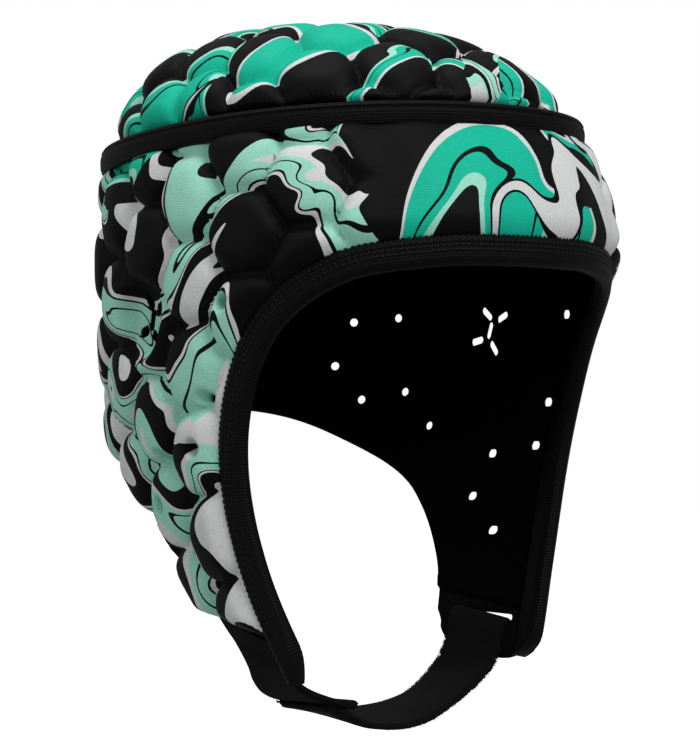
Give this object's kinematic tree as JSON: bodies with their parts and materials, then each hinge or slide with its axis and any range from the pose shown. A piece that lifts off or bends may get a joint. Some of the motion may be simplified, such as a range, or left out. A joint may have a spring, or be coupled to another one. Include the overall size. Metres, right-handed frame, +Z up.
{
  "type": "padded head guard",
  "caption": "Soft padded rugby head guard with cellular foam crown and wall, ear flaps, ear vents, bound face opening and a hook-and-loop chin strap.",
  "frame": {"origin": "on the inside of the crown above the middle of the head, where the guard sits on the head", "axes": "+Z up along the wearer's head, -Y forward out of the face opening, +X to the wearer's left"},
  "size_m": [0.177, 0.2113, 0.2623],
  "materials": {
    "print": "printed stretch knit over foam, black, emerald, mint and white",
    "lining": "black smooth knit lining",
    "trim": "black ribbed binding tape",
    "strap": "black brushed loop webbing"
  },
  "bodies": {
    "root": {"crown_pad": "print", "wall_pad": "print", "crown_lining": "lining", "wall_lining": "lining", "crown_piping": "trim", "face_binding": "trim", "right_tab": "trim", "left_tab": "trim", "chin_strap": "strap"}
  },
  "joints": []
}
